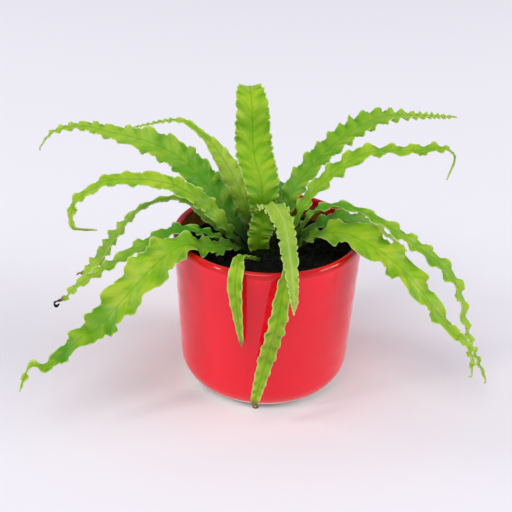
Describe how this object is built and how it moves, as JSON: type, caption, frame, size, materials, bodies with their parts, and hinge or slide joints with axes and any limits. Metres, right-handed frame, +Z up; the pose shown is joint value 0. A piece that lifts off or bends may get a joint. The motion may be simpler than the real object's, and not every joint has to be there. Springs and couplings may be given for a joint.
{
  "type": "potted live plant",
  "caption": "Potted fern: a rosette of long arching strap fronds with crimped wavy margins, in a round glazed ceramic pot filled with soil.",
  "frame": {"origin": "middle of the pot's flat foot, on the surface it stands on", "axes": "+Z up along the pot's axis, -Y towards the plant's front, +X to the right as seen from the front"},
  "size_m": [0.3421, 0.2631, 0.2005],
  "materials": {
    "pot_glaze": "glossy red glaze",
    "potting_soil": "matt crumbly peat",
    "fern_crown": "matt fibrous",
    "frond_green": "satin leaf"
  },
  "bodies": {
    "root": {"pot": "pot_glaze", "soil": "potting_soil", "crown": "fern_crown", "frond_back": "frond_green", "frond_right_top": "frond_green", "frond_right_upper": "frond_green", "frond_right_long": "frond_green", "frond_right_inner": "frond_green", "frond_right_broad": "frond_green", "frond_front_folded": "frond_green", "frond_front_long": "frond_green", "frond_front_small": "frond_green", "frond_left_broad": "frond_green", "frond_left_low": "frond_green", "frond_left_thin": "frond_green", "frond_left_hooked": "frond_green", "frond_left_top": "frond_green", "frond_left_rear": "frond_green", "frond_rear_right": "frond_green", "frond_rear_left": "frond_green"}
  },
  "joints": []
}
